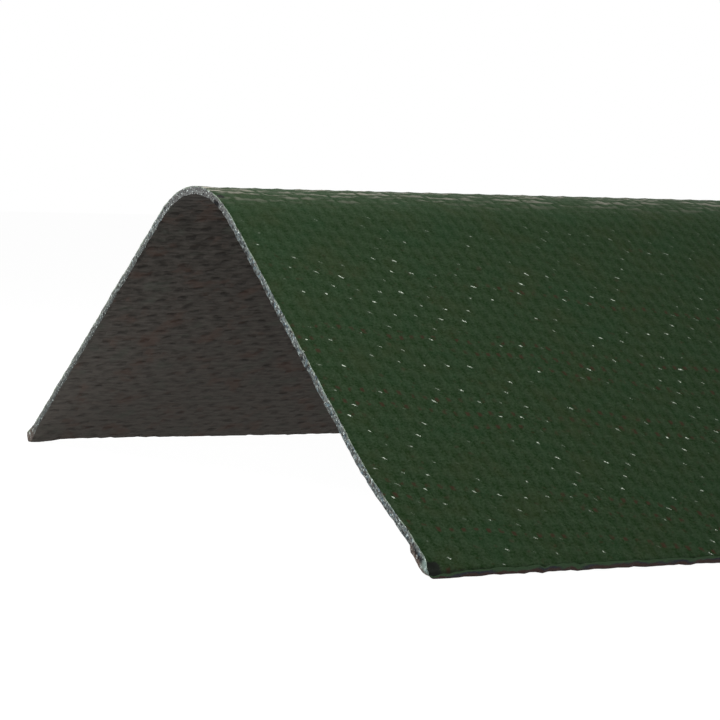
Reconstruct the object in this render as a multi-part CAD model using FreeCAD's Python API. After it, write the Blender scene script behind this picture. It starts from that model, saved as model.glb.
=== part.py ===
# Roof ridge cap: one bitumen-bound fibre sheet folded over a round crown, with two
# flat wings. It lies along X, its wings fall to -Y and +Y, and it stands on its two
# long edges at Z = 0, midway along its length at X = 0. Sizes are in millimetres.

import FreeCAD, Part
import math
import os

# Driving dimensions
LENGTH = 1000.0            # from one square-cut end to the other
WING = 200.0               # outer face, from where the two wings' planes meet to the long edge
WING_SLOPE_DEG = 33.8      # fall of each wing from the horizontal
THICKNESS = 3.2            # sheet, over its pressed weave
CROWN_RADIUS = 57.0        # outer radius of the bend between the wings
LONG_EDGE_EASE = 1.0       # radius on the painted arris of each long edge

NODE = "ridge_cap"

slope = math.radians(WING_SLOPE_DEG)
down_wing = (math.cos(slope), -math.sin(slope))    # (Y, Z) along the +Y wing, crown to edge
off_wing = (math.sin(slope), math.cos(slope))      # (Y, Z) out of the +Y wing's outer face


def section_point(along, depth, side):
    """Point of the section: along the wing from the planes' meeting line, depth into
    the sheet from its outer face, side +1 for the +Y wing and -1 for the -Y wing."""
    y = along * down_wing[0] - depth * off_wing[0]
    z = along * down_wing[1] - depth * off_wing[1]
    return FreeCAD.Vector(0.0, side * y, z + peak_height)


def crown_point(radius):
    """Top of an arc of the bend, about the bend's own centre."""
    return FreeCAD.Vector(0.0, 0.0, peak_height - CROWN_RADIUS / math.cos(slope) + radius)


# The lowest point is the inner corner of the long edge, cut square to the sheet.
peak_height = WING * math.sin(slope) + THICKNESS * math.cos(slope)
bend_start = CROWN_RADIUS * math.tan(slope)        # where the bend leaves the wing

faces = []
for depth in (0.0, THICKNESS):
    left_edge = section_point(WING, depth, -1)
    left_bend = section_point(bend_start, depth, -1)
    right_bend = section_point(bend_start, depth, 1)
    right_edge = section_point(WING, depth, 1)
    faces.append([
        Part.makeLine(left_edge, left_bend),
        Part.Arc(left_bend, crown_point(CROWN_RADIUS - depth), right_bend).toShape(),
        Part.makeLine(right_bend, right_edge),
    ])

edge_faces = [
    Part.makeLine(section_point(WING, 0.0, side), section_point(WING, THICKNESS, side))
    for side in (-1, 1)
]
section = Part.Wire(Part.sortEdges(faces[0] + faces[1] + edge_faces)[0])

sheet = Part.Face(section).extrude(FreeCAD.Vector(LENGTH, 0.0, 0.0))
sheet.translate(FreeCAD.Vector(-LENGTH / 2.0, 0.0, 0.0))

# Each long edge's outer arris is rounded over.
arris_ends = [section_point(WING, 0.0, side) for side in (-1, 1)]
arrises = [
    edge for edge in sheet.Edges
    if any(
        all(math.hypot(v.Y - p.y, v.Z - p.z) < 1e-4 for v in edge.Vertexes)
        for p in arris_ends
    )
]
cap = sheet.makeFillet(LONG_EDGE_EASE, arrises)
if cap.ShapeType != "Solid":
    cap = cap.Solids[0]

os.makedirs("parts", exist_ok=True)
cap.exportStep("parts/" + NODE + ".step")

box = cap.BoundBox
print(NODE, "valid", cap.isValid(), "solids", len(cap.Solids), "eased edges", len(arrises))
print("size %.2f x %.2f x %.2f, lowest %.4f" % (box.XLength, box.YLength, box.ZLength, box.ZMin))
print("volume %.1f, flat width %.1f" % (cap.Volume, cap.Volume / LENGTH / THICKNESS))
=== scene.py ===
"""Roof ridge cap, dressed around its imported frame.

One sheet of bitumen-bound fibre with pressed threads in both faces, folded over a round
crown and painted green outside. It stands on its two long edges. Lengths are in metres,
and sizes that a maker would give in millimetres are written with MM.
"""

import logging
import math
from dataclasses import dataclass, field
from enum import Enum
from typing import Any

import bmesh
import bpy
from mathutils import Matrix, Vector, noise


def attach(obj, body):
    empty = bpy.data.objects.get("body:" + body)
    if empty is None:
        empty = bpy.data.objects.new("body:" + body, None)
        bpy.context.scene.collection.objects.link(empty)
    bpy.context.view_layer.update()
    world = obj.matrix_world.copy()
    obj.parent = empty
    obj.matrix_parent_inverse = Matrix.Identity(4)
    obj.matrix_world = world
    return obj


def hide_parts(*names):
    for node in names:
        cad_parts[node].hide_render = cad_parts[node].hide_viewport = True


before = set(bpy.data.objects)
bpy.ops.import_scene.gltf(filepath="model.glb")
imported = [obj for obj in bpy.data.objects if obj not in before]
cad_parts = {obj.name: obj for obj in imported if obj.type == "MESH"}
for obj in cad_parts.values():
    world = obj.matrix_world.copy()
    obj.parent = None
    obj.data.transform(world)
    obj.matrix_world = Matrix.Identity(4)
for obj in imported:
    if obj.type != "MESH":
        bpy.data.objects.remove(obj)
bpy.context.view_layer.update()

MM = 0.001
WHITE = (1.0, 1.0, 1.0, 1.0)
SHEET_UV = "sheet"
AS_COLOURS = {"data_type": "RGBA", "output": 2}
PLAIN_WORK = {"COSINE": math.cos, "SINE": math.sin, "MAXIMUM": max}
log = logging.getLogger("ridge_cap_scene")

Colour = tuple[float, float, float, float]
Point = tuple[float, float, float]
Ramp = tuple[float, float]
Fade = tuple[float, float, float]
Socket = bpy.types.NodeSocket


# Numbers and shader values


@dataclass(frozen=True)
class NodeKit:
    """Adds shader nodes to one material's or world's tree."""

    tree: bpy.types.NodeTree

    def add(
        self,
        kind: str,
        links: dict[int | str, Any] | None = None,
        output: int | str = 0,
        **settings: Any,
    ) -> "Value":
        """Adds a node with its settings and what feeds its inputs.

        Args:
            kind: Node type after "ShaderNode", such as Math.
            links: Input name or number to a value that feeds it, or to a constant.
            output: Name or number of the output that is wanted.
            settings: Node properties by name.

        Returns:
            What that output gives, or an empty value for a node without outputs.
        """
        node = self.tree.nodes.new("ShaderNode" + kind)
        for name, setting in settings.items():
            setattr(node, name, setting)
        for key, feed in (links or {}).items():
            if isinstance(feed, Value):
                self.tree.links.new(feed.socket, node.inputs[key])
            else:
                node.inputs[key].default_value = feed
        return Value(self, node.outputs[output] if len(node.outputs) else None)


@dataclass(frozen=True, eq=False)
class Value:
    """What a shader works out at each point. Arithmetic on it adds the nodes for it."""

    kit: NodeKit
    socket: "Socket | None"

    def twin(self, output: int | str) -> "Value":
        """Gives another output of the same node."""
        return Value(self.kit, self.socket.node.outputs[output])

    def __add__(self, other: "Term") -> "Value":
        """Gives the sum."""
        return work("ADD", self, other)

    __radd__ = __add__

    def __sub__(self, other: "Term") -> "Value":
        """Gives the difference."""
        return work("SUBTRACT", self, other)

    def __rsub__(self, other: "Term") -> "Value":
        """Gives the difference from a number."""
        return work("SUBTRACT", other, self)

    def __mul__(self, other: "Term") -> "Value":
        """Gives the product."""
        return work("MULTIPLY", self, other)

    __rmul__ = __mul__

    def __truediv__(self, other: "Term") -> "Value":
        """Gives the quotient."""
        return work("DIVIDE", self, other)

    def __pow__(self, other: "Term") -> "Value":
        """Gives the power."""
        return work("POWER", self, other)

    def __neg__(self) -> "Value":
        """Gives the value with its sign turned."""
        return work("MULTIPLY", self, -1.0)

    def __abs__(self) -> "Value":
        """Gives the value without its sign."""
        return work("ABSOLUTE", self)


Term = float | Value


def work(operation: str, *terms: Term) -> Term:
    """Works out one step of arithmetic, at once for the mesh or by a node for a shader.

    Args:
        operation: Name of a Math node's operation.
        terms: Numbers or shader values, in the node's order.

    Returns:
        A number where all terms are numbers, and otherwise a shader value.
    """
    for term in terms:
        if isinstance(term, Value):
            return term.kit.add("Math", dict(enumerate(terms)), operation=operation)
    return PLAIN_WORK[operation](*terms)


def smooth(start: float, end: float, x: Term) -> Term:
    """Eases from 0 at start to 1 at end, for the mesh or for a shader.

    Args:
        start: Where the ramp leaves 0. It may be the larger.
        end: Where it reaches 1.
        x: Number or shader value.

    Returns:
        0 to 1.
    """
    if isinstance(x, Value):
        falls = start > end
        links = {0: x, 1: min(start, end), 2: max(start, end), 3: float(falls), 4: float(not falls)}
        return x.kit.add("MapRange", links, interpolation_type="SMOOTHSTEP")
    t = min(max((x - start) / (end - start), 0.0), 1.0)
    return t * t * (3.0 - 2.0 * t)


@dataclass(frozen=True)
class Grain:
    """Soft noise whose lumps have a real size.

    It stays around 0.5, mostly between 0.2 and 0.8. Detail counts its octaves, rough weighs
    the finer ones, and comb below 1 draws the lumps out along that axis. The finest lumps
    stand for single fibres, which are too fine to show, and are drawn as coarse as a pixel.
    """

    size: float
    detail: float = 2.0
    rough: float = 0.5
    comb: Point = (1.0, 1.0, 1.0)

    def over(self, where: Value, output: str = "Fac") -> Value:
        """Spreads the noise over a surface.

        Args:
            where: Coordinates in metres.
            output: "Fac" for one number, "Color" for three that differ.

        Returns:
            The noise.
        """
        if self.comb != (1.0, 1.0, 1.0):
            where = where.kit.add("Mapping", {0: where, 3: self.comb})
        links = {"Vector": where, "Scale": 1.0 / self.size}
        links |= {"Detail": self.detail, "Roughness": self.rough}
        return where.kit.add("TexNoise", links, output=output)


def linear(hex_colour: str) -> Colour:
    """Turns an sRGB hex colour into linear light.

    Args:
        hex_colour: Six hex digits.

    Returns:
        Linear red, green, blue and an alpha of 1.
    """
    channels = [int(hex_colour[i : i + 2], 16) / 255.0 for i in (0, 2, 4)]
    lin = [c / 12.92 if c <= 0.04045 else ((c + 0.055) / 1.055) ** 2.4 for c in channels]
    return (lin[0], lin[1], lin[2], 1.0)


def tint(base: Value | Colour, share: Value, hex_colour: str) -> Value:
    """Lays a tint over a base.

    Args:
        base: What lies under it.
        share: How much of the tint shows, 0 to 1.
        hex_colour: The tint, as six hex digits.

    Returns:
        The tinted colour.
    """
    return share.kit.add("Mix", {0: share, 6: base, 7: linear(hex_colour)}, **AS_COLOURS)


def new_material(name: str) -> tuple[bpy.types.Material, NodeKit]:
    """Makes an empty node material.

    Args:
        name: Of the material.
    """
    mat = bpy.data.materials.new(name)
    mat.use_nodes = True
    mat.node_tree.nodes.clear()
    return mat, NodeKit(mat.node_tree)


# The sheet's section, threads and wear


@dataclass(frozen=True)
class Section:
    """Section of the folded sheet, as in the part's source."""

    length: float = 1000.0 * MM
    wing: float = 200.0 * MM
    slope: float = math.radians(33.8)
    thickness: float = 3.2 * MM
    crown_radius: float = 57.0 * MM
    edge_ease: float = 1.0 * MM

    @property
    def peak_height(self) -> float:
        """Height at which the two outer faces' planes would meet."""
        return self.wing * math.sin(self.slope) + self.thickness * math.cos(self.slope)

    @property
    def bend_half(self) -> float:
        """Half of the outer face's run over the crown's arc."""
        return self.crown_radius * self.slope

    @property
    def flat_half(self) -> float:
        """Half of the unfolded outer face's width, crown to long edge."""
        return self.bend_half + self.wing - self.crown_radius * math.tan(self.slope)

    def from_end(self, u: Term) -> Term:
        """Distance from the near end, as the saw left it before any wear."""
        return u + self.length / 2.0

    def place(self, u: float, v: float, w: float) -> Vector:
        """Folds a point of the flat sheet into place.

        Args:
            u: Along the ridge.
            v: Across the unfolded sheet from the crown, positive on the wing at -Y.
            w: Out of the outer face; minus the thickness is the inner face.

        Returns:
            The point in the row frame.
        """
        side = 1.0 if v >= 0.0 else -1.0
        reach = abs(v)
        angle = min(reach / self.crown_radius, self.slope)
        along = max(reach - self.bend_half, 0.0)
        centre = self.peak_height - self.crown_radius / math.cos(self.slope)
        radius = self.crown_radius + w
        y = radius * math.sin(angle) + along * math.cos(self.slope)
        z = centre + radius * math.cos(angle) - along * math.sin(self.slope)
        return Vector((u, -side * y, z))


@dataclass(frozen=True)
class Weave:
    """Threads that the press leaves in both faces.

    Outside, a ridge runs down the wing at every column and swells at every second row, in
    a checkerboard of leaning strokes. Inside, the same checkerboard shows as shallow flat
    dimples. Columns lie square to the ridge, and rows drift as they run along it. Each sway
    bends the rows by a wave: its size in rows, its turns along and across, and its phase.
    """

    half_pitch: float = 3.7664 * MM
    row_gap: float = 5.971 * MM
    drift: float = 0.1795
    swell: float = 0.30
    lean: float = -0.25
    ridge: float = 0.36
    rows: float = 0.09
    dimple_edge: float = 0.4
    dimple_flat: float = 4.0
    sway: tuple[tuple[float, float, float, float], ...] = (
        (0.16, 2 * math.pi / 0.071, 9.0, 0.4),
        (0.10, 2 * math.pi / 0.029, -31.0, 2.1),
        (0.24, 2 * math.pi / 0.213, 4.0, 1.2),
    )

    def threads(self, u: Term, v: Term, section: Section) -> tuple[Term, Term]:
        """Finds the thread at a place of the sheet.

        Args:
            u: Along the ridge.
            v: Across the unfolded sheet.
            section: Of the sheet.

        Returns:
            Column and row number; whole numbers lie on a thread.
        """
        column = section.from_end(u) / self.half_pitch
        row = (v - self.drift * u) / self.row_gap
        for size, along, across, phase in self.sway:
            row = row + size * work("SINE", along * u + across * v + phase)
        return column, row

    def height(self, column: Term, row: Term) -> Term:
        """Outer relief.

        Args:
            column: Column number.
            row: Row number.

        Returns:
            0 in the grooves to 1 on the thread crowns, about.
        """
        a, b = math.pi * column, math.pi * row
        down, along = work("COSINE", a), work("COSINE", b)
        strokes = (0.5 + self.lean) * work("COSINE", a + b) + (0.5 - self.lean) * work("COSINE", a - b)
        return self.swell * strokes + self.ridge * (down * down) + self.rows * (along * along)

    def dimple(self, column: Term, row: Term) -> Term:
        """Inner relief.

        Args:
            column: Column number.
            row: Row number.

        Returns:
            0 on the flat to 1 at the bottom of a dimple.
        """
        down, along = work("COSINE", math.pi * column), work("COSINE", math.pi * row)
        between = work("MAXIMUM", -(down * along), 0.0)
        return between**self.dimple_edge * abs(along) ** self.dimple_flat


@dataclass(frozen=True)
class Wear:
    """How the near end and the long edges depart from the true sheet.

    The saw wandered, the corner of the camera-side wing is worn back, its inner ply has
    come loose there, and the foot of the far wing keeps a burr. A ramp gives the distances
    from the near end, or from that corner or foot, between which its wear sets in. A seed
    picks which part of the noise is used.
    """

    end_setback: float = 0.7 * MM
    end_ramp: Ramp = (0.0, 9.0 * MM)
    end_wave: float = 0.22 * MM
    end_wave_length: float = 15.0 * MM
    end_wave_seed: float = 3.7
    end_chatter: float = 0.16 * MM
    end_chatter_grain: tuple[float, float] = (1.9 * MM, 1.3 * MM)
    end_chatter_seed: float = 8.1
    least_setback: float = 0.02 * MM
    corner_setback: float = 3.4 * MM
    corner_ramp: Ramp = (46.0 * MM, 6.0 * MM)
    corner_hook: float = 0.7 * MM
    hook_ramp: Ramp = (5.0 * MM, 0.0)
    tip_round: float = 1.8 * MM
    tip_ramp: Ramp = (3.5 * MM, 0.0)
    near_edge_setback: float = 0.2 * MM
    near_edge_ramp: Ramp = (20.0 * MM, 50.0 * MM)
    far_edge_setback: float = 0.25 * MM
    far_edge_ramp: Ramp = (6.0 * MM, 16.0 * MM)
    far_foot_setback: float = 1.0 * MM
    far_foot_ramp: Ramp = (90.0 * MM, 30.0 * MM)
    foot_bevel: float = 1.3 * MM
    foot_bevel_ramp: Ramp = (22.0 * MM, 6.0 * MM)
    edge_burr: float = 0.75 * MM
    edge_burr_grain: float = 3.0 * MM
    edge_burr_seed: float = 9.0
    edge_burr_ramp: Ramp = (8.0 * MM, 24.0 * MM)
    ply_lift: float = 1.5 * MM
    ply_split: Ramp = (0.4, 0.6)
    ply_ramp: Ramp = (13.3 * MM, 12.4 * MM)
    ply_root: Ramp = (0.0, 6.0 * MM)
    foot_swell: float = 1.7
    foot_swell_ramp: Ramp = (13.0 * MM, 1.0 * MM)
    lift_ramp: Ramp = (13.0 * MM, 3.0 * MM)
    crown_lift: float = 0.55 * MM
    crown_end_ramp: Ramp = (9.0 * MM, 2.0 * MM)
    crown_side_ramp: Ramp = (34.0 * MM, 6.0 * MM)
    chip_depth: float = 0.9 * MM
    chip_size: float = 2.9 * MM
    chip_floor: float = 0.45
    chip_inset: tuple[float, float] = (1.2 * MM, 1.6 * MM)
    blend: float = 14.0 * MM

    def end(self, v: float, w: float, s: Section) -> float:
        """Finds how far the near end's cut stands back.

        Args:
            v: Across the unfolded sheet.
            w: Out of the outer face.
            s: The sheet's section.

        Returns:
            The setback.
        """
        to_corner = s.flat_half - v
        depth = min(-w / s.thickness, 1.0)
        back = self.end_setback * smooth(*self.end_ramp, v + s.flat_half)
        back += self.corner_setback * smooth(*self.corner_ramp, to_corner)
        back -= self.corner_hook * smooth(*self.hook_ramp, to_corner)
        back += self.tip_round * smooth(*self.tip_ramp, to_corner) * depth
        wave = noise.noise(Vector((self.end_wave_seed, v / self.end_wave_length, 0.0)))
        grain_v, grain_w = self.end_chatter_grain
        rough = noise.noise(Vector((v / grain_v, w / grain_w, self.end_chatter_seed)))
        return max(back + self.end_wave * wave + self.end_chatter * rough, self.least_setback)

    def long_edge(self, u: float, side: float, w: float, s: Section) -> float:
        """Finds how far a long edge stands back.

        Args:
            u: Along the ridge.
            side: 1 on the wing at -Y, -1 on the other.
            w: Out of the outer face.
            s: The sheet's section.

        Returns:
            The setback.
        """
        from_end = s.from_end(u)
        bumps = noise.noise(Vector((u / self.edge_burr_grain, side * self.edge_burr_seed, 1.0)))
        if side > 0.0:
            back = self.near_edge_setback * smooth(*self.near_edge_ramp, from_end)
        else:
            extra = self.far_foot_setback - self.far_edge_setback
            back = self.far_edge_setback + extra * smooth(*self.far_foot_ramp, from_end)
            back *= smooth(*self.far_edge_ramp, from_end)
            height = min(max(1.0 + w / s.thickness, 0.0), 1.0)
            back += self.foot_bevel * height * smooth(*self.foot_bevel_ramp, from_end)
        burr = self.edge_burr * (0.5 + bumps) * smooth(*self.edge_burr_ramp, from_end)
        return max(back + burr, 0.0)

    def crown_end(self, u: float, v: float, s: Section) -> float:
        """Share, 0 to 1, of the crown's near end, left full by the press."""
        return smooth(*self.crown_end_ramp, s.from_end(u)) * smooth(*self.crown_side_ramp, abs(v))

    def lift(self, u: float, v: float, s: Section) -> float:
        """Finds how far the inner face stands off near the two near corners.

        Args:
            u: Along the ridge.
            v: Across the unfolded sheet.
            s: The sheet's section.

        Returns:
            The gap.
        """
        to_corner = s.flat_half - v
        loose = smooth(*self.ply_ramp, to_corner) * smooth(*self.ply_root, to_corner)
        swollen = self.foot_swell * smooth(*self.foot_swell_ramp, v + s.flat_half)
        return self.ply_lift * (loose + swollen) * smooth(*self.lift_ramp, s.from_end(u))

    def chip(self, u: float, v: float, s: Section) -> float:
        """Finds how deep the outer corner has broken out.

        Args:
            u: Along the ridge.
            v: Across the unfolded sheet.
            s: The sheet's section.

        Returns:
            Share of the chip's depth, 0 to 1.
        """
        inset_u, inset_v = self.chip_inset
        du = s.from_end(u) - (self.end_setback + self.corner_setback) - inset_u
        dv = s.flat_half - v - inset_v
        return smooth(self.chip_size, self.chip_size * self.chip_floor, math.hypot(du, dv))


class Face(Enum):
    """Which finish a face of the sheet takes, by material slot."""

    PAINTED = 0
    INNER = 1
    CUT_END = 2
    LONG_EDGE = 3


# Finishes


@dataclass(frozen=True)
class SheetPoint:
    """Where a shaded point lies on the flat sheet and among its threads."""

    uv: Value
    u: Value
    v: Value
    column: Value
    row: Value


@dataclass(frozen=True)
class Finish:
    """What the sheet's finishes share: a matt or satin skin over a fine relief.

    Each builds its colour up in thin layers. Where smooth() takes a grain, its two numbers
    are levels of that noise, which set how much of the face the layer covers, and the
    factor after it is how strongly the layer shows.
    """

    section: Section
    roughness: float = 0.7
    specular: float = 0.2
    bump: float = 0.35 * MM

    def close(self, kit: NodeKit, base: Value, relief: Value) -> None:
        """Closes the material with one principled shader and a bump.

        Args:
            kit: For the material's tree.
            base: Base colour.
            relief: Relief, in units of the bump's depth.
        """
        bumped = kit.add("Bump", {"Height": relief, "Distance": self.bump, "Strength": 1.0})
        links = {"Base Color": base, "Normal": bumped}
        links |= {"Roughness": self.roughness, "Specular IOR Level": self.specular}
        kit.add("OutputMaterial", {0: kit.add("BsdfPrincipled", links)})


@dataclass(frozen=True)
class WovenFinish(Finish):
    """A finish on a face that the threads are pressed into."""

    weave: Weave = Weave()
    stray: tuple[float, float] = (0.32, 0.48)
    stray_grain: Grain = Grain(9.0 * MM)

    def point(self, kit: NodeKit) -> SheetPoint:
        """Finds the shaded point by the sheet's UV map; the threads' marks stray a little.

        Args:
            kit: For the material's tree.

        Returns:
            The point.
        """
        uv = kit.add("UVMap", uv_map=SHEET_UV)
        u = kit.add("SeparateXYZ", {0: uv})
        v = u.twin(1)
        column, row = self.weave.threads(u, v, self.section)
        loose = kit.add("SeparateColor", {0: self.stray_grain.over(uv, "Color")})
        stray_columns, stray_rows = self.stray
        column = column + stray_columns * (loose - 0.5)
        row = row + stray_rows * (loose.twin(1) - 0.5)
        return SheetPoint(uv, u, v, column, row)


@dataclass(frozen=True)
class GreenCoat(WovenFinish):
    """Bitumen paint sprayed on a pressed fibre sheet, then baked.

    A thin satin coat, with painted shade in the grooves and pits and painted light on the
    thread strokes. The upper ends of some thread crowns carry painted glints, pale specks
    that stand for highlights. The crown of the fold is rubbed to the fibre, with a painted
    highlight on its crests, and a few rows of pits are missed, so that the red-brown fibre
    shows. A tip's place and half sizes are in threads, and each fade holds the least share
    of the tips, and where they fade in.
    """

    wear: Wear = Wear()
    roughness: float = 0.55
    specular: float = 0.012
    bump: float = 0.36 * MM
    colour: str = "3a4936"
    shade: str = "14270f"
    teal: str = "1f3a26"
    olive: str = "353722"
    # Pale colour of the painted glints, which stand for highlights.
    painted_glint_colour: str = "d3ddcd"
    # Rubbed fibre on the crown, which also paints a highlight on its crests.
    rubbed_and_highlight: str = "918d83"
    bare_fibre: str = "38271e"
    bitumen: str = "20231f"
    tone: float = 0.365
    speck_tone: float = 1.9
    patch_share: float = 0.18
    patches: Grain = Grain(16.0 * MM, 4.0, 0.6)
    specks: Grain = Grain(0.9 * MM, 3.0, 0.75)
    # Painted light and shade along the threads, on the strokes, columns and rows.
    stroke_tint: float = 0.055
    column_tint: tuple[float, float] = (0.100, 1.00)
    row_tint: tuple[float, float] = (0.060, 3.18)
    # Painted glints on the upper ends of thread crowns.
    tip_at: tuple[float, float] = (0.20, -0.30)
    tip_lean: float = -0.24
    tip_shift: float = 0.30
    tip_half_width: tuple[float, float] = (0.06, 0.23)
    tip_half_height: float = 0.062
    tip_crumbs: Grain = Grain(0.45 * MM, 2.0, 0.75)
    tip_crumb_depth: tuple[float, float] = (7.0, 2.8)
    tip_rarity: tuple[float, float] = (0.63, 0.6)
    tip_contrast: float = 2.3
    tip_gain: float = 2.3
    tip_below_crown: Fade = (0.07, 26.0 * MM, 80.0 * MM)
    tip_near_ends: Fade = (0.28, 270.0 * MM, 440.0 * MM)
    tip_above_foot: Fade = (0.40, 184.0 * MM, 150.0 * MM)
    pit_rows: float = 0.52
    pit_runs: Grain = Grain(60.0 * MM, 1.0)
    pit_run_shift: float = 0.13
    pit_crumbs: Grain = Grain(2.4 * MM)
    pit_fade: Ramp = (35.0 * MM, 60.0 * MM)
    thin_coat: Grain = Grain(3.0 * MM)
    crown_fade: Ramp = (27.0 * MM, 8.0 * MM)
    crown_gap_turn: float = 0.98
    crown_streaks: Grain = Grain(3.0 * MM, 3.0, comb=(0.2, 1.0, 1.0))
    frayed_run: Ramp = (9.0 * MM, 3.0 * MM)
    frayed_from: Ramp = (1.0 * MM, 4.0 * MM)
    frayed_to: Ramp = (15.0 * MM, 11.0 * MM)
    frayed_streaks: Grain = Grain(1.8 * MM, comb=(0.2, 1.0, 1.0))
    chip_radius: float = 3.6 * MM
    shoulder_chip: Point = (1.4 * MM, 18.0 * MM, 2.7 * MM)
    chip_crumbs: Grain = Grain(1.6 * MM)
    chip_rag: float = 2.4 * MM
    chip_rim: float = 0.5 * MM
    edge_rag: float = 1.2 * MM
    edge_line_ramp: Ramp = (1.3 * MM, 0.7 * MM)

    def make(self) -> bpy.types.Material:
        """Builds the material.

        Returns:
            The material.
        """
        mat, kit = new_material("green_bitumen_paint")
        at = self.point(kit)
        height = self.weave.height(at.column, at.row)
        patches = self.patches.over(at.uv)
        specks = self.specks.over(at.uv)
        painted_thread_shading = self.painted_thread_shading(at)
        # The tone takes painted light and shade along the threads, and random specks.
        tone = painted_thread_shading + self.tone + (specks - 0.5) * self.speck_tone
        base = tint(linear(self.shade), tone, self.colour)
        base = tint(base, smooth(0.50, 0.66, patches) * self.patch_share, self.olive)
        base = tint(base, smooth(0.47, 0.34, patches) * self.patch_share, self.teal)
        base = tint(base, self.missed_pits(at), self.bare_fibre)
        # Rubbed fibre on the crown, partly a painted highlight.
        base = tint(base, self.crown_rub_and_highlight(at, height), self.rubbed_and_highlight)
        # Painted glints, pale specks that stand for highlights.
        base = tint(base, self.painted_glints(at, patches), self.painted_glint_colour)
        base = tint(base, self.broken_corner(at), self.bitumen)
        base = tint(base, self.edge_line(at, specks), self.bitumen)
        self.close(kit, base, (painted_thread_shading * 0.45 + height) * (patches + 0.5) + specks * 0.5)
        return mat

    def painted_thread_shading(self, at: SheetPoint) -> Value:
        """Painted light and shade that follow the threads, dark in a round pit beside each swelling.

        Args:
            at: The shaded point.

        Returns:
            What it adds to the tone.
        """
        total = work("COSINE", math.pi * (at.column - at.row)) * self.stroke_tint
        for thread, (size, phase) in ((at.column, self.column_tint), (at.row, self.row_tint)):
            total = total + work("COSINE", 2.0 * math.pi * thread + phase) * size
        return total

    def painted_glints(self, at: SheetPoint, patches: Value) -> Value:
        """Painted glints on the upper ends of some thread crowns, ragged and of varied length.

        Args:
            at: The shaded point.
            patches: Noise that gathers the painted glints in groups.

        Returns:
            Share of the painted glint colour.
        """
        kit = at.uv.kit
        column, row = work("ROUND", at.column), work("ROUND", at.row)
        swells = work("COMPARE", work("PINGPONG", column + row, 1.0), 0.0, 0.25)
        key = kit.add("CombineXYZ", {0: column, 1: row})
        dice = kit.add("TexWhiteNoise", {"Vector": key}, noise_dimensions="2D")
        rolls = kit.add("SeparateColor", {0: dice.twin("Color")})
        bright, shift = rolls.twin(1), rolls.twin(2)
        tip_column, tip_row = self.tip_at
        least, most = self.tip_half_width
        off_column = at.column - column
        side = off_column - tip_column + self.tip_shift * shift
        side = side / (rolls * (most - least) + least)
        up = (at.row - row - tip_row + self.tip_lean * off_column) / self.tip_half_height
        crumb_reach, crumb_floor = self.tip_crumb_depth
        ragged = self.tip_crumbs.over(at.uv) * crumb_reach - crumb_floor
        spot = work("MAXIMUM", ragged - (side**2.0 + up**2.0), 0.0)
        rarity, gathered = self.tip_rarity
        chosen = work("GREATER_THAN", dice, rarity - gathered * patches)
        strength = self.tip_gain * bright**self.tip_contrast
        for fade, place in (
            (self.tip_below_crown, at.v),
            (self.tip_near_ends, at.u),
            (self.tip_above_foot, at.v),
        ):
            least_share, start, full = fade
            faded = smooth(start, full, abs(place))
            strength = strength * (least_share + (1.0 - least_share) * faded)
        return work("MINIMUM", spot * strength * chosen * swells, 1.0)

    def missed_pits(self, at: SheetPoint) -> Value:
        """Pits that the spray missed, in runs along some rows, and thin spots between.

        Args:
            at: The shaded point.

        Returns:
            Share of bare fibre.
        """
        kit = at.uv.kit
        row = at.row + 0.5
        pit_row = work("ROUND", row)
        dice = kit.add("TexWhiteNoise", {"W": pit_row}, output="Value", noise_dimensions="1D")
        missed = work("GREATER_THAN", dice, self.pit_rows)
        own_run = kit.add("CombineXYZ", {0: at.u, 1: pit_row * self.pit_run_shift})
        run = smooth(0.40, 0.50, self.pit_runs.over(own_run))
        groove = smooth(0.72, 0.26, abs(work("COSINE", math.pi * at.column)))
        middle = smooth(0.21, 0.10, abs(row - pit_row))
        crumbled = smooth(0.38, 0.56, self.pit_crumbs.over(at.uv))
        pits = groove * middle * missed * run * crumbled
        thin = smooth(0.63, 0.75, self.thin_coat.over(at.uv))
        return work("MAXIMUM", pits * 0.8, thin * 0.35) * smooth(*self.pit_fade, abs(at.v))

    def crown_rub_and_highlight(self, at: SheetPoint, height: Value) -> Value:
        """Rubbed fibre and painted highlight in dashes along the crown, and fraying beside its near
        end.

        Args:
            at: The shaded point.
            height: Outer relief.

        Returns:
            Share of rubbed fibre and painted highlight.
        """
        lines = 0.6 * (abs(work("COSINE", math.pi * at.row)) + height)
        gaps = abs(work("COSINE", at.column * self.crown_gap_turn))
        dashes = smooth(0.30, 0.75, lines) * smooth(0.04, 0.30, gaps)
        streaks = smooth(0.42, 0.62, self.crown_streaks.over(at.uv))
        rubbed_and_highlight = smooth(*self.crown_fade, abs(at.v)) * dashes * streaks * 0.60
        frayed = smooth(0.46, 0.56, self.frayed_streaks.over(at.uv))
        frayed = frayed * smooth(*self.frayed_run, self.section.from_end(at.u))
        frayed = frayed * smooth(*self.frayed_from, at.v) * smooth(*self.frayed_to, at.v)
        return work("MAXIMUM", rubbed_and_highlight, frayed)

    def broken_corner(self, at: SheetPoint) -> Value:
        """Black bitumen where the outer corner and the shoulder have broken out.

        Args:
            at: The shaded point.

        Returns:
            Share of bitumen, at the corner over Wear.chip.
        """
        inset_u, inset_v = self.wear.chip_inset
        back = self.wear.end_setback + self.wear.corner_setback + inset_u
        shoulder_back, across, radius = self.shoulder_chip
        corner = self.broken_spot(at, back, self.section.flat_half - inset_v, self.chip_radius)
        shoulder = self.broken_spot(at, self.wear.end_setback + shoulder_back, across, radius)
        return work("MAXIMUM", corner, shoulder)

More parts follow.
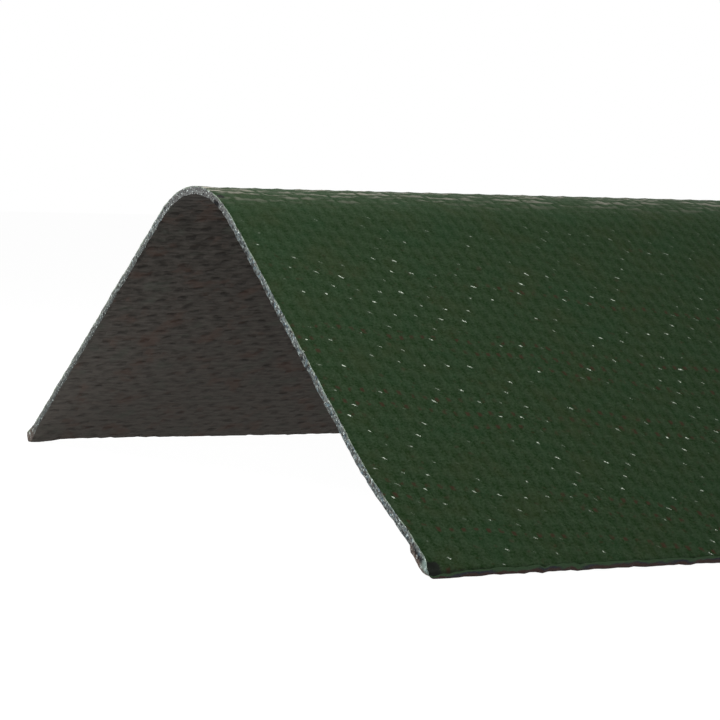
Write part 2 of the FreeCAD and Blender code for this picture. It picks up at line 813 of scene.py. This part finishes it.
    def broken_spot(self, at: SheetPoint, back: float, across: float, radius: float) -> Value:
        """One ragged spot.

        Args:
            at: The shaded point.
            back: The spot's middle, back from the near end.
            across: Its middle, across from the crown.
            radius: Of the spot.

        Returns:
            Share of the spot, 0 to 1.
        """
        du, dv = self.section.from_end(at.u) - back, at.v - across
        away = (du**2.0 + dv**2.0) ** 0.5 + self.chip_crumbs.over(at.uv) * self.chip_rag
        return smooth(radius + self.chip_rim, radius - self.chip_rim, away)

    def edge_line(self, at: SheetPoint, specks: Value) -> Value:
        """Share of black where the coat runs out on the long edges' arrises."""
        to_edge = self.section.flat_half - abs(at.v) + specks * self.edge_rag
        return smooth(*self.edge_line_ramp, to_edge) * 0.5


@dataclass(frozen=True)
class FibreFace(WovenFinish):
    """Unpainted inner face: grey-brown cellulose fibre soaked in bitumen, matt."""

    roughness: float = 0.85
    specular: float = 0.15
    bump: float = 0.40 * MM
    stray: tuple[float, float] = (0.672, 1.008)
    stray_grain: Grain = Grain(6.0 * MM)
    colour: str = "504c47"
    shade: str = "211e1a"
    rust: str = "4f3a31"
    green_cast: str = "454a42"
    tone: float = 0.29
    # Painted shade in the dimples.
    dimple_painted_shade: float = -0.52
    fibre_tone: float = 2.3
    # Painted light, lighter towards the foot.
    foot_painted_light: float = 0.58
    patches: Grain = Grain(12.0 * MM, 4.0, 0.6)
    fibres: Grain = Grain(1.8 * MM, 3.0, 0.65, comb=(0.34, 1.0, 1.0))

    def make(self) -> bpy.types.Material:
        """Builds the material.

        Returns:
            The material.
        """
        mat, kit = new_material("bitumen_soaked_fibre")
        at = self.point(kit)
        patches = self.patches.over(at.uv)
        fibres = self.fibres.over(at.uv)
        depth = self.weave.dimple(at.column, at.row) * (2.6 * patches - 0.5)
        # Painted light: the face grows lighter towards the foot.
        foot_light_share = smooth(0.0, self.section.flat_half, abs(at.v))
        # Painted shade darkens the dimples.
        tone = self.tone + self.dimple_painted_shade * depth + self.foot_painted_light * foot_light_share
        tone = tone + self.fibre_tone * (fibres - 0.5)
        base = tint(linear(self.shade), tone, self.colour)
        base = tint(base, smooth(0.52, 0.66, patches) * 0.38, self.rust)
        base = tint(base, smooth(0.44, 0.32, patches) * 0.40, self.green_cast)
        self.close(kit, base, fibres * 0.55 - depth)
        return mat


@dataclass(frozen=True)
class CutEnd(Finish):
    """Sawn end of the sheet: packed fibre and filler, blue-grey, with voids painted black as shade.

    A depth is a share of the sheet's thickness, 0 at the outer face and 1 at the inner one.
    """

    specular: float = 0.05
    colour: str = "737a78"
    dark: str = "353939"
    glint: str = "d9e4df"
    crown_tint: str = "5f5e5d"
    far_tint: str = "6c6d68"
    rim: str = "93a390"
    # Black of the painted shade in voids.
    void_shade: str = "0f1012"
    brown: str = "5c4b42"
    wedge: str = "7f938c"
    blue: str = "6c8592"
    tone: float = 0.62
    ply_tone: float = 4.5
    crumb_tone: float = 6.0
    plies: Grain = Grain(1.1 * MM, 3.0, 0.65, comb=(1.0, 0.35, 1.0))
    crumbs: Grain = Grain(1.0 * MM, 3.0, 0.75)
    stains: Grain = Grain(1.5 * MM, 3.0, 0.7)
    rim_runs: Grain = Grain(5.0 * MM)
    rim_ramp: Ramp = (0.20, 0.08)
    crown_reach: Ramp = (1.25, 0.6)
    far_reach: Ramp = (-1.0, -1.6)
    foot_ramp: Ramp = (12.0 * MM, 2.0 * MM)
    ply_ramp: Ramp = (14.0 * MM, 12.5 * MM)
    wedge_ramp: Ramp = (7.5 * MM, 5.0 * MM)
    void_spots: Grain = Grain(2.0 * MM)
    void_reach: Ramp = (0.78, 0.54)
    few_spots: Grain = Grain(1.3 * MM)
    crevice_from: Ramp = (5.0 * MM, 6.5 * MM)
    crevice_to: Ramp = (12.5 * MM, 10.5 * MM)
    crevice_depth: float = 0.50
    notch_from: Ramp = (16.0 * MM, 17.0 * MM)
    notch_to: Ramp = (22.0 * MM, 20.0 * MM)

    def make(self) -> bpy.types.Material:
        """Builds the material.

        Returns:
            The material.
        """
        mat, kit = new_material("sawn_fibre_edge")
        uv = kit.add("UVMap", uv_map=SHEET_UV)
        u = kit.add("SeparateXYZ", {0: uv})
        v = u.twin(1)
        depth = (abs(u) - self.section.length / 2.0) / self.section.thickness
        plies, crumbs, stains = (grain.over(uv) for grain in (self.plies, self.crumbs, self.stains))
        tone = self.tone + (plies - 0.5) * self.ply_tone + (crumbs - 0.5) * self.crumb_tone
        base = tint(linear(self.dark), tone, self.colour)
        base = tint(base, smooth(0.54, 0.66, stains) * 0.55, self.brown)
        base = tint(base, smooth(0.46, 0.36, stains) * 0.60, self.blue)
        crown_start, crown_full = (share * self.section.bend_half for share in self.crown_reach)
        base = tint(base, smooth(crown_start, crown_full, abs(v)) * 0.75, self.crown_tint)
        base = self.far_wing(base, v, depth)
        base = self.near_corner(base, v, depth)
        rough_depth = depth + (crumbs - 0.5) * 0.5
        rim = smooth(*self.rim_ramp, rough_depth) * smooth(0.42, 0.55, self.rim_runs.over(uv))
        base = tint(base, rim * 0.7, self.rim)
        base = tint(base, smooth(0.58, 0.64, crumbs) * 0.85, self.glint)
        # Voids, the crevice and a notch are painted black as shade.
        base = tint(base, self.painted_void_shade(uv, v, rough_depth), self.void_shade)
        self.close(kit, base, plies + crumbs)
        return mat

    def far_wing(self, base: Value, v: Value, depth: Value) -> Value:
        """Greys the far wing's cut, darkens it towards its inner face and browns its foot.

        Args:
            base: Colour so far.
            v: Across the unfolded sheet.
            depth: Depth in the cut.

        Returns:
            The colour.
        """
        start, full = (share * self.section.bend_half for share in self.far_reach)
        there = smooth(start, full, v)
        base = tint(base, there * 0.5, self.far_tint)
        base = tint(base, smooth(0.25, 0.95, depth) * there * 0.75, self.dark)
        foot = smooth(*self.foot_ramp, v + self.section.flat_half)
        return tint(base, foot * 0.7, self.brown)

    def near_corner(self, base: Value, v: Value, depth: Value) -> Value:
        """Browns the loose inner ply and pales the broken wedge at the camera-side corner.

        Args:
            base: Colour so far.
            v: Across the unfolded sheet.
            depth: Depth in the cut.

        Returns:
            The colour.
        """
        to_corner = self.section.flat_half - v
        ply = smooth(*self.ply_ramp, to_corner) * smooth(0.46, 0.60, depth)
        wedge = smooth(*self.wedge_ramp, to_corner) * smooth(0.95, 0.60, depth)
        return tint(tint(base, ply * 0.75, self.brown), wedge * 0.6, self.wedge)

    def painted_void_shade(self, uv: Value, v: Value, depth: Value) -> Value:
        """Painted shade in voids along the inner ply, the open crevice, a notch and a few spots
        elsewhere.

        Args:
            uv: The shaded point on the unfolded sheet.
            v: Across the unfolded sheet.
            depth: Depth in the cut, roughened.

        Returns:
            Share of black painted shade.
        """
        half, to_corner = self.section.flat_half, self.section.flat_half - v
        start, full = (share * half for share in self.void_reach)
        wing = smooth(start, full, v) * smooth(0.0, self.section.bend_half, v)
        spots = smooth(0.54, 0.60, self.void_spots.over(uv))
        void_shade = spots * smooth(0.46, 0.66, depth) * wing * 0.85
        span = smooth(*self.crevice_from, to_corner) * smooth(*self.crevice_to, to_corner)
        crevice = span * smooth(0.13, 0.05, abs(depth - self.crevice_depth)) * 0.9
        few = smooth(0.60, 0.67, self.few_spots.over(uv)) * 0.85
        notch = smooth(*self.notch_from, v) * smooth(*self.notch_to, v) * smooth(0.40, 0.58, depth)
        return work("MAXIMUM", work("MAXIMUM", void_shade, crevice), work("MAXIMUM", few, notch))


@dataclass(frozen=True)
class LongEdge(Finish):
    """Factory edge: the coat runs over its upper part, then bare rust-brown fibre.

    Bitumen has bled out in blue-black patches between the two.
    """

    coat: str = "2c4229"
    black: str = "1b1e24"
    brown: str = "2f1f19"
    scuff: str = "4c453e"
    grain: Grain = Grain(1.2 * MM, 3.0, 0.65)
    ragged_grain: Grain = Grain(4.0 * MM, 3.0)
    ragged_reach: float = 1.6
    bled_runs: Grain = Grain(14.0 * MM)

    def make(self) -> bpy.types.Material:
        """Builds the material.

        Returns:
            The material.
        """
        mat, kit = new_material("bitumen_edge")
        uv = kit.add("UVMap", uv_map=SHEET_UV)
        v = kit.add("SeparateXYZ", {0: uv}, output=1)
        depth = (abs(v) - self.section.flat_half) / self.section.thickness
        grain = self.grain.over(uv)
        ragged = depth + (self.ragged_grain.over(uv) - 0.5) * self.ragged_reach
        base = tint(linear(self.coat), smooth(0.48, 0.64, ragged), self.brown)
        bled = smooth(0.28, 0.40, ragged) * smooth(0.76, 0.60, ragged)
        base = tint(base, bled * smooth(0.46, 0.56, self.bled_runs.over(uv)), self.black)
        base = tint(base, smooth(0.62, 0.72, grain) * 0.5, self.scuff)
        self.close(kit, base, grain)
        return mat


# The sheet


@dataclass
class RidgeCapSheet:
    """The whole cap as one closed sheet with its threads pressed in.

    It is built flat, with the outer face at height 0, and folded last. The inner face keeps
    every fourth column and second row of the grid, and the near end gets a finer one.
    """

    section: Section = field(default_factory=Section)
    weave: Weave = field(default_factory=Weave)
    wear: Wear = field(default_factory=Wear)
    relief: float = 0.42 * MM
    inner_relief: float = 0.25 * MM
    inner_columns: int = 4
    inner_rows: int = 2
    fine_reach: float = 30.0 * MM
    cut_reach: float = 4.5 * MM
    long_step: float = 1.5 * MM
    end_cuts: int = 5
    side_cuts: int = 2
    row_cuts: int = 3
    arris_inset: float = 0.3 * MM
    merge: float = 0.08 * MM
    tiny: float = 0.001 * MM

    @property
    def columns(self) -> int:
        """Grid columns along the sheet, two to a thread."""
        return 2 * round(self.section.length / self.weave.half_pitch)

    @property
    def row_step(self) -> float:
        """Grid rows' spacing, two to a thread."""
        return self.weave.row_gap / 2.0

    def build(self) -> bpy.types.Object:
        """Builds, folds and dresses the sheet.

        Returns:
            The finished object.
        """
        bm = bmesh.new()
        steps = (
            self.flat_outer_face,
            self.give_thickness,
            self.thin_inner_face,
            self.refine_near_end,
            self.mark_faces,
            self.wear_edges,
            self.unwrap,
            self.fold,
        )
        for step in steps:
            step(bm)
        bmesh.ops.recalc_face_normals(bm, faces=bm.faces)
        mesh = bpy.data.meshes.new("ridge_cap_sheet")
        bm.to_mesh(mesh)
        bm.free()
        piece = bpy.data.objects.new("ridge_cap_sheet", mesh)
        bpy.context.scene.collection.objects.link(piece)
        finishes = (
            GreenCoat(self.section, weave=self.weave, wear=self.wear),
            FibreFace(self.section, weave=self.weave),
            CutEnd(self.section),
            LongEdge(self.section),
        )
        for finish in finishes:
            mesh.materials.append(finish.make())
        return piece

    def flat_outer_face(self, bm: bmesh.types.BMesh) -> None:
        """Lays the unfolded outer face as a grid along the threads and trims it to size.

        Args:
            bm: The empty mesh.
        """
        s, drift = self.section, self.weave.drift
        reach = s.flat_half + drift * s.length / 2.0
        rows = 2 * math.ceil(reach / self.row_step) + 2
        bmesh.ops.create_grid(bm, x_segments=self.columns, y_segments=rows, size=0.5)
        bmesh.ops.scale(bm, vec=(s.length, rows * self.row_step, 1.0), verts=bm.verts)
        shear = Matrix.Identity(3)
        shear[1][0] = drift
        bmesh.ops.transform(bm, matrix=shear.to_4x4(), verts=bm.verts)
        for side in (-1.0, 1.0):
            for inset in (0.0, self.arris_inset, s.edge_ease):
                self.cut(bm, side * (s.flat_half - inset), side, clear=inset == 0.0)
        bmesh.ops.remove_doubles(bm, verts=bm.verts, dist=self.merge)

    def cut(self, bm: bmesh.types.BMesh, v: float, side: float, clear: bool) -> None:
        """Cuts the flat sheet along its length.

        Args:
            bm: The sheet.
            v: Where, across the sheet.
            side: 1 or -1, towards the long edge that is nearer.
            clear: Whether what lies beyond goes.
        """
        bmesh.ops.bisect_plane(
            bm,
            geom=bm.verts[:] + bm.edges[:] + bm.faces[:],
            dist=self.tiny / 10.0,
            plane_co=(0.0, v, 0.0),
            plane_no=(0.0, side, 0.0),
            clear_outer=clear,
        )

    def give_thickness(self, bm: bmesh.types.BMesh) -> None:
        """Gives the flat face its thickness and loops round its edge, most at the near end.

        Args:
            bm: The outer face.
        """
        s = self.section
        bmesh.ops.recalc_face_normals(bm, faces=bm.faces)
        if bm.faces[0].normal.z < 0.0:
            bmesh.ops.reverse_faces(bm, faces=bm.faces)
        bmesh.ops.solidify(bm, geom=bm.faces[:], thickness=s.thickness)
        top = max(v.co.z for v in bm.verts)
        bmesh.ops.translate(bm, vec=(0.0, 0.0, -top), verts=bm.verts)
        near, other = [], []
        for edge in bm.edges:
            a, b = (vert.co for vert in edge.verts)
            if abs(a.z - b.z) > s.thickness / 2.0:
                (near if s.from_end(a.x) < self.tiny else other).append(edge)
        bmesh.ops.subdivide_edges(bm, edges=other, cuts=self.side_cuts, use_grid_fill=True)
        bmesh.ops.subdivide_edges(bm, edges=near, cuts=self.end_cuts, use_grid_fill=True)

    def grid_place(self, vert: bmesh.types.BMVert) -> tuple[float, float]:
        """Grid column and row of a vertex of the flat sheet, whole numbers on the grid."""
        column = self.section.from_end(vert.co.x) * self.columns / self.section.length
        return column, (vert.co.y - self.weave.drift * vert.co.x) / self.row_step

    def thin_inner_face(self, bm: bmesh.types.BMesh) -> None:
        """Leaves only some columns and rows in the inner face, which shows less relief.

        Args:
            bm: The sheet.
        """
        s = self.section
        on_grid = 0.01
        gone = []
        for edge in bm.edges:
            a, b = edge.verts
            inner = max(a.co.z, b.co.z) < self.tiny - s.thickness
            if not inner or s.from_end(min(a.co.x, b.co.x)) < self.fine_reach:
                continue
            if any(f.normal.z > -0.5 for f in edge.link_faces):
                continue
            (column_a, row_a), (column_b, row_b) = self.grid_place(a), self.grid_place(b)
            on_column = abs(column_a - column_b) < on_grid
            on_row = abs(row_a - row_b) < on_grid and abs(row_a - round(row_a)) < on_grid
            kept = on_column and round(column_a) % self.inner_columns == 0
            kept = kept or (on_row and round(row_a) % self.inner_rows == 0)
            if not kept:
                gone.append(edge)
        bmesh.ops.dissolve_edges(bm, edges=gone, use_verts=True)

    def refine_near_end(self, bm: bmesh.types.BMesh) -> None:
        """Adds rows close to the near end, where the cut is rough.

        Args:
            bm: The sheet.
        """
        across = []
        for edge in bm.edges:
            a, b = (vert.co for vert in edge.verts)
            near = self.section.from_end(max(a.x, b.x)) < self.cut_reach
            if near and abs(a.y - b.y) > self.long_step and abs(a.x - b.x) < self.tiny:
                across.append(edge)
        bmesh.ops.subdivide_edges(bm, edges=across, cuts=self.row_cuts, use_grid_fill=True)

    def mark_faces(self, bm: bmesh.types.BMesh) -> None:
        """Gives each face its finish by where it points, and its shading.

        Args:
            bm: The sheet.
        """
        for f in bm.faces:
            f.normal_update()
            f.smooth = True
            if abs(f.normal.z) > 0.5:
                kind = Face.PAINTED if f.normal.z > 0.0 else Face.INNER
            else:
                kind = Face.CUT_END if abs(f.normal.x) > 0.5 else Face.LONG_EDGE
            f.material_index = kind.value
        arris = {Face.PAINTED.value, Face.LONG_EDGE.value}
        for edge in bm.edges:
            kinds = {f.material_index for f in edge.link_faces}
            edge.smooth = len(kinds) == 1 or kinds == arris

    def wear_edges(self, bm: bmesh.types.BMesh) -> None:
        """Sets the near end and the long edges back where they are worn, still flat.

        Args:
            bm: The sheet.
        """
        s, wear = self.section, self.wear
        for vert in bm.verts:
            u, v, w = vert.co
            from_end = s.from_end(u)
            if from_end < wear.blend:
                u += wear.end(v, w, s) * smooth(wear.blend, 0.0, from_end)
            to_edge = s.flat_half - abs(v)
            if to_edge < wear.blend:
                side = 1.0 if v > 0.0 else -1.0
                v -= side * wear.long_edge(u, side, w, s) * smooth(wear.blend, 0.0, to_edge)
            vert.co = (u, v, w)

    def unwrap(self, bm: bmesh.types.BMesh) -> None:
        """Keeps each corner's place on the flat sheet, in metres, as its UV.

        The cut ends and the long edges fold outwards, so that they show their depth.

        Args:
            bm: The sheet.
        """
        s = self.section
        layer = bm.loops.layers.uv.new(SHEET_UV)
        for f in bm.faces:
            kind = Face(f.material_index)
            for loop in f.loops:
                u, v, w = loop.vert.co
                if kind is Face.CUT_END:
                    u = math.copysign(s.length / 2.0 - w, u)
                elif kind is Face.LONG_EDGE:
                    v = math.copysign(s.flat_half - w, v)
                loop[layer].uv = (u, v)

    def fold(self, bm: bmesh.types.BMesh) -> None:
        """Presses the threads in, lifts the loose ply and folds the sheet over its crown.

        Args:
            bm: The flat sheet.
        """
        s, wear, weave = self.section, self.wear, self.weave
        for vert in bm.verts:
            u, v, w = vert.co
            share = min(max(-w / s.thickness, 0.0), 1.0)
            threads = weave.threads(u, v, s)
            full = wear.crown_end(u, v, s)
            pressed = self.relief * (1.0 - weave.height(*threads)) * (1.0 - full)
            outer = -pressed - self.ease(v) - wear.chip_depth * wear.chip(u, v, s)
            inner = -s.thickness + self.inner_relief * weave.dimple(*threads)
            inner += wear.crown_lift * full
            loose = wear.lift(u, v, s) * smooth(*wear.ply_split, share)
            point = s.place(u, v, outer + (inner - outer) * share - loose)
            point.z = max(point.z, 0.0)
            vert.co = point

    def ease(self, v: float) -> float:
        """Finds the outer face's drop where the long edge's arris is rounded over.

        Args:
            v: Across the unfolded sheet.

        Returns:
            The drop.
        """
        r = self.section.edge_ease
        past = min(max(abs(v) - (self.section.flat_half - r), 0.0), r)
        return r - math.sqrt(max(r * r - past * past, 0.0))


# Surroundings


@dataclass(frozen=True)
class Softbox:
    """A square lamp with a soft front: where it hangs, what it points at, side and watts."""

    name: str
    place: Point
    aim: Point
    size: float
    power: float

    def build(self) -> None:
        """Adds the lamp."""
        data = bpy.data.lights.new(self.name, "AREA")
        data.shape = "SQUARE"
        data.size = self.size
        data.energy = self.power
        lamp = bpy.data.objects.new(self.name, data)
        lamp.location = self.place
        lamp.visible_camera = False
        towards = Vector(self.aim) - Vector(self.place)
        lamp.rotation_euler = towards.to_track_quat("-Z", "Y").to_euler()
        bpy.context.scene.collection.objects.link(lamp)


@dataclass(frozen=True)
class Studio:
    """Plain white floor and backdrop under soft light."""

    floor_size: float = 8.0
    floor_glow: float = 0.978
    floor_answer: float = 0.09
    paper: float = 0.35
    table_light: float = 0.33
    world_level: float = 0.05
    softboxes: tuple[Softbox, ...] = (
        Softbox("front_softbox", (-0.85, -0.5, 0.35), (-0.45, 0.0, 0.05), 0.3, 2.65),
        Softbox("top_softbox", (-0.68, 0.235, 0.59), (-0.42, 0.0, 0.05), 0.35, 5.85),
        Softbox("far_softbox", (0.95, 0.0, 0.55), (0.45, 0.0, 0.05), 0.4, 4.5),
    )

    def build(self) -> None:
        """Builds the floor, the world and the lamps."""
        bm = bmesh.new()
        bmesh.ops.create_grid(bm, x_segments=1, y_segments=1, size=self.floor_size / 2.0)
        mesh = bpy.data.meshes.new("studio_floor")
        bm.to_mesh(mesh)
        bm.free()
        floor = bpy.data.objects.new("studio_floor", mesh)
        bpy.context.scene.collection.objects.link(floor)
        mesh.materials.append(self.floor_finish())
        self.world()
        for softbox in self.softboxes:
            softbox.build()

    def seen_share(self, kit: NodeKit) -> Value:
        """Tells rays that show the surroundings from those that only light the cap.

        Args:
            kit: For the tree of the floor's material or of the world.

        Returns:
            1 for rays that are seen, straight, mirrored or through, and otherwise 0.
        """
        straight = kit.add("LightPath", output="Is Camera Ray")
        seen = work("MAXIMUM", straight, straight.twin("Is Glossy Ray"))
        return work("MAXIMUM", seen, straight.twin("Is Transmission Ray"))

    def floor_finish(self) -> bpy.types.Material:
        """White paper on a light table: shows white and keeps a faint shadow.

        Returns:
            The material.
        """
        mat, kit = new_material("white_paper_floor")
        lit, shown = (
            kit.add(
                "AddShader",
                {
                    0: kit.add("BsdfDiffuse", {"Color": (grey, grey, grey, 1.0)}),
                    1: kit.add("Emission", {"Strength": glow}),
                },
            )
            for grey, glow in ((self.paper, self.table_light), (self.floor_answer, self.floor_glow))
        )
        mixed = kit.add("MixShader", {0: self.seen_share(kit), 1: lit, 2: shown})
        kit.add("OutputMaterial", {0: mixed})
        return mat

    def world(self) -> None:
        """White where it is seen, softer where it lights."""
        world = bpy.data.worlds.new("studio_world")
        bpy.context.scene.world = world
        world.use_nodes = True
        world.node_tree.nodes.clear()
        kit = NodeKit(world.node_tree)
        soft = kit.add("Background", {"Color": WHITE, "Strength": self.world_level})
        white = kit.add("Background", {"Color": WHITE, "Strength": 1.0})
        mixed = kit.add("MixShader", {0: self.seen_share(kit), 1: soft, 2: white})
        kit.add("OutputWorld", {0: mixed})


@dataclass(frozen=True)
class Viewpoint:
    """The photograph's camera, worked out from the cap's outline."""

    place: Point = (-0.80197, -0.74148, 0.10996)
    azimuth: float = math.radians(26.156)
    elevation: float = math.radians(-4.493)
    roll: float = math.radians(1.770)
    lens_mm: float = 122.471
    sensor_mm: float = 36.0
    sight: tuple[float, float] = (0.01, 50.0)

    def build(self) -> None:
        """Adds the camera and makes it the scene's."""
        forward = Vector((
            math.sin(self.azimuth) * math.cos(self.elevation),
            math.cos(self.azimuth) * math.cos(self.elevation),
            math.sin(self.elevation),
        ))
        right = forward.cross(Vector((0.0, 0.0, 1.0))).normalized()
        up = right.cross(forward)
        side = right * math.cos(self.roll) + up * math.sin(self.roll)
        top = up * math.cos(self.roll) - right * math.sin(self.roll)
        data = bpy.data.cameras.new("photo_camera")
        data.lens = self.lens_mm
        data.sensor_width = self.sensor_mm
        data.clip_start, data.clip_end = self.sight
        camera = bpy.data.objects.new("photo_camera", data)
        axes = Matrix((side, top, -forward)).transposed()
        camera.matrix_world = Matrix.Translation(self.place) @ axes.to_4x4()
        bpy.context.scene.collection.objects.link(camera)
        bpy.context.scene.camera = camera


def main() -> None:
    """Builds the cap, its surroundings and the camera."""
    logging.basicConfig(level=logging.INFO, format="%(name)s: %(message)s")
    bpy.context.scene.view_settings.view_transform = "Standard"
    Viewpoint().build()
    cap = RidgeCapSheet().build()
    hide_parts("ridge_cap")
    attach(cap, "root")
    triangles = sum(len(p.vertices) - 2 for p in cap.data.polygons)
    log.info("%s: %d faces, %d triangles", cap.name, len(cap.data.polygons), triangles)
    Studio().build()


if __name__ == "__main__":
    main()
